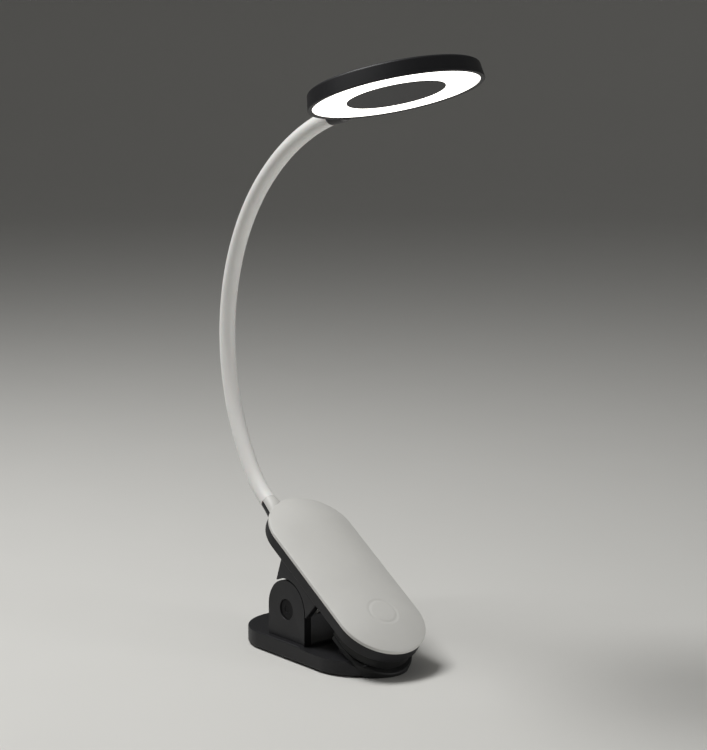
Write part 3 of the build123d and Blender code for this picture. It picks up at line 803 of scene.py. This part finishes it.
class MakeFoot(bpy.types.Operator):
    """Rubber foot with a raised rim and grooves"""

    bl_idname = "reading_lamp.foot"
    bl_label = "Rubber foot"

    def execute(self, context):
        foot = obround(FOOT_R, BASE_REAR, CAVITY_FRONT, 0, FOOT_T, 0.0, 0.35)
        underside = min(foot.faces, key=lambda f: f.calc_center_median().z)
        for inset, sink in FOOT_RINGS:
            bmesh.ops.inset_region(
                foot, faces=[underside], thickness=inset, depth=sink, use_even_offset=True
            )
        add_piece(
            "rubber_foot", foot, finish("black_nitrile_rubber"), "lower_jaw", ["base_foot_pad"]
        )
        return {"FINISHED"}


class MakePads(bpy.types.Operator):
    """Rubber pads of both jaws, with rounded rims and shallow grip grooves"""

    bl_idname = "reading_lamp.pads"
    bl_label = "Jaw pads"

    def execute(self, context):
        sizes = context.scene.lamp_sizes
        back = ((PAD_REAR, 0, 0), (-1, 0, 0))
        slab = obround(PAD_R, PAD_REAR - PAD_SPARE, PAD_FRONT, PAD_SEAT, PAD_FACE, sizes.pad_rim / MM, 0.35)
        sliced(slab, *back)
        slab = placed(grooved(slab, 40, PAD_FACE + GROOVE_OFFSET), LEVER)
        sliced(slab, (0, 0, 0), (0, 0, -1))
        toe = placed(obround(PAD_R - 0.02, PAD_REAR - PAD_SPARE, PAD_FRONT, -8, PAD_SEAT + 0.4), LEVER)
        sliced(toe, (TOE_REAR, 0, 0), (-1, 0, 0))
        sliced(toe, (0, 0, 0), (0, 0, -1))
        sliced(toe, (0, 0, BASE_TOP), (0, 0, 1))
        toe = without(toe, obround(BASE_R + 0.04, BASE_REAR, BASE_FRONT, -1, BASE_TOP + 9))
        rubber = finish("black_nitrile_rubber")
        add_piece("lower_grip_pad", merged(slab, toe), rubber, "lower_jaw", ["lower_jaw_pad"])

        upper = obround(
            UPPER_PAD_R, PAD_REAR - PAD_SPARE, UPPER_PAD_FRONT, UPPER_PAD_FACE, SHELL_LOW, 0.0, 1.0
        )
        sliced(upper, *back)
        upper = grooved(upper, 38, UPPER_PAD_FACE - GROOVE_OFFSET)
        add_piece("upper_grip_pad", upper, rubber, "lever", ["upper_jaw_pad"], LEVER)
        return {"FINISHED"}


class MakeHinge(bpy.types.Operator):
    """Caps on the hinge pin's ends, each with a shallow dimple"""

    bl_idname = "reading_lamp.hinge_caps"
    bl_label = "Hinge caps"

    def execute(self, context):
        caps = []
        for side in (1, -1):
            cap = turned([
                (0, 0, 0), (CAP_R, 0, 0), (CAP_R, CAP_T, 0.3), (DIMPLE_R + 0.2, CAP_T, 0.15),
                (DIMPLE_R, CAP_T - DIMPLE, 0), (0, CAP_T - DIMPLE, 0),
            ], 64)
            seat = Matrix.Translation((0, side * CAP_SEAT, PIVOT_Z))
            caps.append(placed(cap, seat @ turn(-90 * side, "X")))
        # The caps' finish carries painted shade for the ear recesses.
        add_piece(
            "pin_caps", merged(*caps), finish("black_acetal_and_painted_shade"), "lower_jaw",
            ["hinge_pin_caps"],
        )
        return {"FINISHED"}


class MakeSpring(bpy.types.Operator):
    """Torsion spring: one wire from the lower leg, round the coil, to the upper leg"""

    bl_idname = "reading_lamp.spring"
    bl_label = "Torsion spring"

    def execute(self, context):
        hub = Vector((0, 0, PIVOT_Z))
        shape = bmesh.new()
        start = Vector((0, COIL_LOW_Y, PIVOT_Z - COIL_R))
        tip = Vector((LOWER_LEG_X, COIL_LOW_Y, BASE_TOP + WIRE_R + 0.05))
        heading = (start - tip).normalized()
        facing = heading.to_track_quat("Z", "Y").to_matrix().to_4x4()
        bmesh.ops.create_circle(
            shape, cap_ends=True, radius=WIRE_R, segments=14, matrix=Matrix.Translation(tip) @ facing
        )
        made = bmesh.ops.extrude_edge_only(shape, edges=shape.edges[:])
        moved = picked(made["geom"], VERT)
        bmesh.ops.translate(shape, vec=start - tip, verts=moved)
        onto_coil = heading.rotation_difference(Vector((1, 0, 0))).to_matrix()
        bmesh.ops.rotate(shape, cent=start, matrix=onto_coil, verts=moved)
        ring = picked(made["geom"], (VERT, EDGE))
        # From under the hub, round to the lever's side of it, and the full turns on.
        angle = COIL_TURNS * math.tau + math.radians(NECK_HEADINGS[0] - 90)
        steps = round(angle / math.tau * COIL_STEPS)
        made = bmesh.ops.spin(
            shape, geom=ring, cent=hub, axis=(0, -1, 0), angle=angle, steps=steps,
            dvec=(0, (COIL_HIGH_Y - COIL_LOW_Y) / steps, 0), use_merge=False, use_duplicate=False,
        )
        ends = [v.co for v in picked(made["geom_last"], VERT)]
        middle = sum(ends, Vector()) / len(ends)
        leg_tip = LEVER @ Vector((UPPER_LEG_X, COIL_HIGH_Y, SHELL_LOW - WIRE_R - 0.05))
        made = bmesh.ops.extrude_edge_only(shape, edges=picked(made["geom_last"], EDGE))
        bmesh.ops.translate(shape, vec=leg_tip - middle, verts=picked(made["geom"], VERT))
        bmesh.ops.holes_fill(shape, edges=[e for e in shape.edges if e.is_boundary])
        wire = make_object("torsion_spring", shape, finish("music_wire"))
        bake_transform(wire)
        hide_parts("torsion_spring_coil", "torsion_spring_leg")
        return {"FINISHED"}


class MakeShell(bpy.types.Operator):
    """Lever shell: hollow band, arched skirts, hinge lugs, screw bosses and the collar's lower half"""

    bl_idname = "reading_lamp.shell"
    bl_label = "Lever shell"

    def execute(self, context):
        sizes = context.scene.lamp_sizes
        band = lever_block(SHELL_R, SHELL_LOW, SHELL_TOP, 0.2, sizes.shell_edge / MM)
        inside = lever_block(SHELL_R - SHELL_WALL, SHELL_FLOOR, SHELL_TOP + 5)
        slot = obround(
            SOCKET_H / 2 + 0.1, (SOCKET_H - SOCKET_W) / 2, (SOCKET_W - SOCKET_H) / 2, -SOCKET_L, 4, steps=48
        )
        facing = turn(-90, "Y") @ turn(90, "Z")
        placed(slot, Matrix.Translation((SOCKET_X, SOCKET_Y, SOCKET_Z)) @ facing)
        bore = placed(rod(LEADS_BORE, 0, 40), NECK_AXIS)
        seat = SHELL_LOW + SCREW_SINK
        sinks = [
            placed(rod(SCREW_SINK_R, SHELL_LOW - 2, seat, 0.0, 32), Matrix.Translation((*spot, 0)))
            for spot in LEVER_SCREWS
        ]
        band = without(band, inside, slot, bore, *sinks)
        bosses = [boss(spot, BOSS_CLEARANCE, seat, BOSS_MEET, (0, 0, 0.2, 0)) for spot in LEVER_SCREWS]
        skirts, lugs = [], []
        for side in (1, -1):
            low, high = sorted((side * SKIRT_IN, side * SKIRT_OUT))
            skirt = box((-SKIRT_HALF_TOP, low, SKIRT_LOW), (SKIRT_HALF_TOP, high, SHELL_FLOOR - 0.4))
            for vert in skirt.verts:
                if vert.co.z < SHELL_LOW:
                    vert.co.x *= SKIRT_HALF_LOW / SKIRT_HALF_TOP
            rounded(skirt, skirt.edges[:], sizes.skirt_edge / MM, 3)
            skirts.append(without(skirt, placed(rod(SKIRT_ARC_R, -30, 30, 0.0, ROUND_STEPS), across())))
            lug = obround(LUG_R, 0, 15, LUG_IN, LUG_OUT, 0.4, 0.4, 64)
            placed(lug, turn(90 * side, "X") @ turn(90 * side, "Z"))
            if max(v.co.z for v in lug.verts) < LUG_R + 1:
                bmesh.ops.scale(lug, vec=(1, 1, -1), verts=lug.verts)
            lugs.append(without(lug, placed(rod(PIN_R + 0.05, -30, 30), across())))
        lower_half = collar(sizes.sleeve_radius / MM)
        sliced(lower_half, (0, 0, COLLAR_SPLIT - 0.03), (0, 0, 1))
        lower_half = without(lower_half, lever_block(SHELL_R - 0.4, 0, 60))
        add_piece(
            "lever_moulding", merged(band, *skirts, *lugs, *bosses, lower_half),
            finish("charcoal_moulded_abs"), "lever", ["lever_shell"], LEVER,
        )
        return {"FINISHED"}


def collar(tip_radius):
    """Flared collar round the gooseneck's root, in the lever's frame."""
    flare = [(radius, along, 0) for radius, along in COLLAR_PROFILE]
    tip = [(tip_radius + 0.02, COLLAR_TIP, 0.15), (0, COLLAR_TIP, 0)]
    return placed(turned([(0, flare[0][1], 0), *flare, *tip], 72), NECK_AXIS)


def from_spine(point):
    """Distance from the line that joins the centres of the cover's two round ends."""
    beyond = max(point.x - COVER_FRONT, 0, COVER_REAR - point.x)
    return math.hypot(beyond, point.y)


def crown_height(away, radius, base, rise):
    """Height of an arc that rises over a half width, at a distance from the spine."""
    ball = (radius**2 + rise**2) / (2 * rise)
    return base + rise - ball + math.sqrt(ball**2 - min(away, radius) ** 2)


class MakeCover(bpy.types.Operator):
    """Top cover: crowned shell with a dished touch ring in line with its round front end"""

    bl_idname = "reading_lamp.cover"
    bl_label = "Top cover"

    def execute(self, context):
        sizes = context.scene.lamp_sizes
        edge = sizes.cover_edge / MM
        plate = lever_block(COVER_R, COVER_LOW, COVER_TOP, edge)
        top = max(plate.faces, key=lambda f: f.calc_center_median().z)
        under = min(plate.faces, key=lambda f: f.calc_center_median().z)
        for inset in CROWN_INSETS:
            bmesh.ops.inset_region(plate, faces=[top], thickness=inset, depth=0, use_even_offset=True)
        loop = top.edges[:]
        bmesh.ops.delete(plate, geom=[top], context="FACES_ONLY")
        half_step = Matrix.Rotation(math.pi / ROUND_STEPS, 4, "Z")
        ring_r, ring_w = sizes.touch_radius / MM, sizes.touch_width / MM
        made = bmesh.ops.create_circle(
            plate, cap_ends=True, radius=ring_r, segments=ROUND_STEPS,
            matrix=Matrix.Translation((COVER_FRONT, 0, COVER_TOP)) @ half_step,
        )
        button = made["verts"][0].link_faces[0]
        bridge = bmesh.ops.bridge_loops(plate, edges=loop + button.edges[:])
        spokes = {e for f in bridge["faces"] for e in f.edges} - set(loop) - set(button.edges)
        bmesh.ops.subdivide_edges(plate, edges=list(spokes), cuts=16, use_grid_fill=True)
        for inset in [ring_w / 8] * 8 + [1.6, 1.8, 1.6]:
            bmesh.ops.inset_region(plate, faces=[button], thickness=inset, depth=0, use_even_offset=True)
        lower = set(under.verts)
        bmesh.ops.inset_region(
            plate, faces=[under], thickness=COVER_R - COVER_INNER_R, depth=0, use_even_offset=True
        )
        for inset in UNDER_INSETS:
            lower |= set(under.verts)
            bmesh.ops.inset_region(plate, faces=[under], thickness=inset, depth=0, use_even_offset=True)
        lower |= set(under.verts)
        outer_r = COVER_R - edge
        crown_rise = sizes.cover_crown / MM
        slope = math.asin(2 * crown_rise * outer_r / (outer_r**2 + crown_rise**2))
        rim_r = edge / (1 - math.sin(slope))
        for vert in plate.verts:
            away = from_spine(vert.co)
            if away > outer_r - 0.01 and vert.co.z > COVER_TOP - edge - 0.001:
                # The rounded rim starts where the crown leaves off, at the crown's own slope.
                arc = math.asin(min((vert.co.z - COVER_TOP + edge) / edge, 1)) * (1 - slope / (math.pi / 2))
                centre = Vector((min(max(vert.co.x, COVER_REAR), COVER_FRONT), 0, vert.co.z))
                vert.co = centre + (vert.co - centre) * ((COVER_R - rim_r * (1 - math.cos(arc))) / away)
                vert.co.z = COVER_TOP - rim_r * (math.cos(slope) - math.sin(arc))
            elif vert in lower:
                vert.co.z = crown_height(away, COVER_INNER_R, COVER_LOW, COVER_INNER_CROWN)
            elif away < outer_r - 0.01 and vert.co.z > COVER_TOP - 0.01:
                vert.co.z = crown_height(away, outer_r, COVER_TOP, crown_rise)
                across_ring = (ring_r - math.hypot(vert.co.x - COVER_FRONT, vert.co.y)) / ring_w
                if 0 < across_ring < 1:
                    vert.co.z -= sizes.touch_dish / MM * math.sin(math.pi * across_ring) ** 2
        bmesh.ops.recalc_face_normals(plate, faces=plate.faces)
        lip = without(
            lever_block(SHELL_R - SHELL_WALL - 0.1, COVER_LOW - 1.2, COVER_LOW + 0.2),
            lever_block(SHELL_R - SHELL_WALL - 1.2, COVER_LOW - 3, COVER_LOW + 3),
            placed(rod(COLLAR_BORE, 0, 40), NECK_AXIS),
        )
        bosses = []
        for spot in LEVER_SCREWS:
            away = from_spine(Vector((*spot, 0)))
            reach = crown_height(away, COVER_INNER_R, COVER_LOW, COVER_INNER_CROWN) + 0.9
            bosses.append(boss(spot, BOSS_BORE, BOSS_MEET, reach, (0.1, 0.2, 0, 0)))
        upper_half = collar(sizes.sleeve_radius / MM)
        sliced(upper_half, (0, 0, COLLAR_SPLIT + 0.03), (0, 0, -1))
        # The collar's top sinks to the rim where it joins the cover.
        for vert in upper_half.verts:
            along = COLLAR_ROOT_X - vert.co.x - COLLAR_SINK_END
            clear = min(max(along / (COLLAR_SINK_START - COLLAR_SINK_END), 0), 1)
            if vert.co.z > COLLAR_SPLIT + 0.1:
                share = COLLAR_SINK + (1 - COLLAR_SINK) * clear
                vert.co.z = NECK_START_Z + (vert.co.z - NECK_START_Z) * share
        upper_half = without(
            upper_half,
            lever_block(SHELL_R + 0.02, 0, COVER_LOW + 0.3),
            lever_block(COVER_R - 0.6, COVER_LOW, 60),
        )
        add_piece(
            "cover_moulding", merged(plate, lip, *bosses, upper_half), finish("grey_moulded_abs"),
            "lever", ["top_cover"], LEVER,
        )
        return {"FINISHED"}


class MakeNeck(bpy.types.Operator):
    """Gooseneck sleeve: seven lengths that meet without a seam"""

    bl_idname = "reading_lamp.neck"
    bl_label = "Gooseneck sleeve"

    def execute(self, context):
        radius = context.scene.lamp_sizes.sleeve_radius / MM
        total = neck_arcs()[-1][1]
        bends = len(NECK_BODIES) - 1
        for i in range(bends):
            start = LINK_PITCH * i
            end = total if i == bends - 1 else LINK_PITCH * (i + 1)
            shape = swept_sleeve(start, end, radius)
            sleeve = make_object(f"sleeve_length_{i + 1}", shape, finish("grey_silicone"))
            middle = LINK_PITCH * (i + 0.5)
            neck_at(middle - BEND_HALF)[0] * MM
            neck_at(middle + BEND_HALF)[0] * MM
            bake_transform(sleeve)
            nodes = [f"neck_sleeve_{i}"] + ([f"neck_sleeve_{bends}"] if i == bends - 1 else [])
            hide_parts(*nodes)
        return {"FINISHED"}


class MakeHead(bpy.types.Operator):
    """Head: turned housing, neck socket, glowing ring and closed centre disc"""

    bl_idname = "reading_lamp.head"
    bl_label = "Ring head"

    def execute(self, context):
        sizes = context.scene.lamp_sizes
        charcoal = finish("charcoal_moulded_abs")
        housing = turned([
            (0, HEAD_T - 1.5, 0), (LIT_OUTER, HEAD_T - 1.5, 0), (LIT_OUTER, 0, 0.2),
            (HEAD_R, 0, 0.35), (HEAD_BACK_R, HEAD_T, sizes.housing_edge / MM), (0, HEAD_T, 0),
        ], HEAD_STEPS)
        add_piece("head_moulding", housing, charcoal, "head", ["head_housing"], HEAD)

        socket = turned([
            (0, 0, 0), (sizes.sleeve_radius / MM + 0.02, 0, 0.15), (4.75, 3, 0), (5.1, 6, 0), (5.35, 9, 0),
            (5.4, 12, 0), (0, 12, 0),
        ], 72)
        outward = turn(90, "Y")
        placed(socket, Matrix.Translation((-HEAD_REACH, 0, HEAD_AXIS)) @ outward)
        socket = without(socket, rod(HEAD_BACK_R - 0.2, -20, 20, 0.0, HEAD_STEPS))
        add_piece("neck_socket", socket, charcoal, "head", ["head_collar"], HEAD)

        inner, outer, middle = LIT_INNER + 0.05, LIT_OUTER - 0.05, (LIT_OUTER + LIT_INNER) / 2
        rim, slope, back = 0.45, 0.33, 2.1
        ring = turned([
            (inner, back, 0), (outer, back, 0), (outer, rim, 0.12), (middle + 5, slope, 0),
            (middle, rim - sizes.diffuser_dome / MM, 0), (middle - 5, slope, 0), (inner, rim, 0.12),
        ], HEAD_STEPS)
        add_piece(
            "lit_ring", ring, finish("opal_polycarbonate"), "head", ["diffuser_ring"], HEAD
        )

        disc = turned([
            (0, 0.1, 0), (LIT_INNER, 0.1, 0.35), (LIT_INNER, 4.8, 0), (LIT_INNER - 1.2, 4.8, 0),
            (LIT_INNER - 1.2, 1.6, 0), (0, 1.6, 0),
        ], HEAD_STEPS)
        add_piece("centre_disc", disc, charcoal, "head", ["head_centre_disc"], HEAD)
        return {"FINISHED"}


class MakeScrews(bpy.types.Operator):
    """Pan-head screws with a cross recess, in the base, the lever and the head"""

    bl_idname = "reading_lamp.screws"
    bl_label = "Screws"

    def execute(self, context):
        head = context.scene.lamp_sizes.screw_head / MM
        base = [Matrix.Translation((*spot, FOOT_T + 0.1)) for spot in BASE_SCREWS]
        lever = [LEVER @ Matrix.Translation((*spot, SHELL_LOW + 0.4)) for spot in LEVER_SCREWS]
        ring = [
            HEAD @ turn(60 + 120 * i, "Z") @ Matrix.Translation((HEAD_SCREW_R, 0, 4.9))
            for i in range(3)
        ]
        groups = (
            ("base_screw_set", base, 3.6, "lower_jaw", "base_screws"),
            ("lever_screw_set", lever, 5.4, "lever", "lever_screws"),
            ("head_screw_set", ring, 2.2, "head", "head_screws"),
        )
        for name, places, reach, body, node in groups:
            thread = []
            for count in range(int((reach - 0.5) / THREAD_PITCH)):
                at = 1.0 + THREAD_PITCH * count
                thread += [(THREAD_R, at, 0), (THREAD_ROOT_R, at + THREAD_PITCH / 2, 0)]
            profile = [(0, 0, 0), (head - 0.25, 0, 0), (head, 0.3, 0), (head, 0.8, 0), (THREAD_R, 0.8, 0)]
            profile += thread + [(0.5, 0.8 + reach, 0), (0, 0.8 + reach, 0)]
            arms = ((1.0, 0.22), (0.22, 1.0))
            recess = [box((-x, -y, -0.5), (x, y, 0.45)) for x, y in arms]
            screw = without(turned(profile, 32), *recess)
            group = merged(*[placed(screw.copy(), place) for place in places])
            screw.free()
            add_piece(name, group, finish("zinc_plated_steel"), body, [node])
        return {"FINISHED"}


class FinishFrameParts(bpy.types.Operator):
    """Gives every part that keeps its shape from the frame its own finish"""

    bl_idname = "reading_lamp.frame_finishes"
    bl_label = "Inner part finishes"

    def execute(self, context):
        wanted = {
            "base_bottom_plate": "charcoal_moulded_abs", "hinge_pin": "zinc_plated_steel",
            "charging_socket": "zinc_plated_steel", "circuit_board": "green_circuit_board",
            "circuit_board_chips": "black_epoxy", "battery_cell": "foil_laminate",
            "battery_leads": "red_pvc", "touch_plate": "copper_sheet", "neck_clamp": "zinc_plated_steel",
            "reflector_ring": "white_polypropylene", "led_board": "white_circuit_board",
            "led_chips": "yellow_phosphor_gel", "head_leads": "red_pvc",
        }
        for i in range(len(NECK_BODIES)):
            wanted[f"neck_core_{i}"] = "zinc_plated_steel"
            wanted[f"neck_leads_{i}"] = "red_pvc"
        for name, node in frame["nodes"].items():
            if node.hide_render:
                continue
            if name not in wanted:
                raise RuntimeError(f"{name} has no finish")
            for slot in node.material_slots:
                slot.material = finish(wanted[name])
        return {"FINISHED"}


class MakeStage(bpy.types.Operator):
    """Plain pale floor and surround, soft studio lights and the camera"""

    bl_idname = "reading_lamp.stage"
    bl_label = "Stage"

    def execute(self, context):
        scene, stage = context.scene, context.scene.lamp_stage
        material, place = start_material("painted_floor")
        mottle = add_node(material, "TexNoise", {"Scale": per_mm(60), "Detail": 2.0}, {"Vector": place})
        gloss = add_node(
            material, "MapRange", {"To Min": 0.5, "To Max": 0.6}, {"Value": mottle.outputs["Fac"]}
        )
        finish_material(material, {"Base Color": stage.floor}, {"Roughness": gloss.outputs["Result"]})
        shape = turned(FLOOR_PROFILE, 128, closed=False)
        floor = make_object("floor", shape, material, Matrix.Translation((0, 0, -0.02)))

        world = bpy.data.worlds.new("surround")
        world.use_nodes = True
        backdrop = world.node_tree.nodes["Background"]
        backdrop.inputs["Color"].default_value = stage.surround
        backdrop.inputs["Strength"].default_value = stage.surround_power
        scene.world = world

        lights = (
            ("key_light", KEY_LIGHT, 0.5, stage.key_power),
            ("side_light", SIDE_LIGHT, 0.6, stage.fill_power),
            ("front_light", FRONT_LIGHT, 0.2, stage.front_power),
        )
        for name, spot, width, power in lights:
            lamp = bpy.data.lights.new(name, "AREA")
            lamp.size, lamp.energy = width, power
            holder = bpy.data.objects.new(name, lamp)
            holder.location = spot
            holder.visible_camera = False
            holder.rotation_euler = (LIGHT_AIM - Vector(spot)).to_track_quat("-Z", "Y").to_euler()
            scene.collection.objects.link(holder)

        level = math.cos(CAMERA_ELEVATION)
        back = Vector((
            math.sin(CAMERA_AZIMUTH) * level, -math.cos(CAMERA_AZIMUTH) * level, math.sin(CAMERA_ELEVATION)
        ))
        lens = bpy.data.cameras.new("camera")
        lens.lens, lens.sensor_width = stage.lens, 36.0
        lens.clip_start, lens.clip_end = 0.01, 50.0
        camera = bpy.data.objects.new("camera", lens)
        camera.location = CAMERA_AIM + back * CAMERA_DISTANCE
        camera.rotation_euler = (-back).to_track_quat("-Z", "Y").to_euler()
        scene.collection.objects.link(camera)
        scene.camera = camera
        scene.view_settings.view_transform = "Standard"
        return {"FINISHED"}


BUILDERS = (
    MakeBase, MakeFoot, MakePads, MakeHinge, MakeSpring, MakeShell, MakeCover, MakeNeck, MakeHead,
    MakeScrews, FinishFrameParts, MakeStage,
)


class LampPanel(bpy.types.Panel):
    """Buttons for each piece of the lamp"""

    bl_idname = "VIEW3D_PT_reading_lamp"
    bl_label = "Reading Lamp"
    bl_space_type = "VIEW_3D"
    bl_region_type = "UI"
    bl_category = "Reading Lamp"

    def draw(self, context):
        for group in (context.scene.lamp_sizes, context.scene.lamp_finishes, context.scene.lamp_stage):
            column = self.layout.column(align=True)
            for name in group.__annotations__:
                column.prop(group, name)
        for builder in BUILDERS:
            self.layout.operator(builder.bl_idname)


CLASSES = (LampSizes, LampFinishes, LampStage, *BUILDERS, LampPanel)


def register():
    for each in CLASSES:
        bpy.utils.register_class(each)
    bpy.types.Scene.lamp_sizes = PointerProperty(type=LampSizes)
    bpy.types.Scene.lamp_finishes = PointerProperty(type=LampFinishes)
    bpy.types.Scene.lamp_stage = PointerProperty(type=LampStage)


def unregister():
    del bpy.types.Scene.lamp_sizes
    del bpy.types.Scene.lamp_finishes
    del bpy.types.Scene.lamp_stage
    for each in reversed(CLASSES):
        bpy.utils.unregister_class(each)


def main():
    register()
    for builder in BUILDERS:
        group, name = builder.bl_idname.split(".")
        getattr(getattr(bpy.ops, group), name)()


if __name__ == "__main__":
    main()
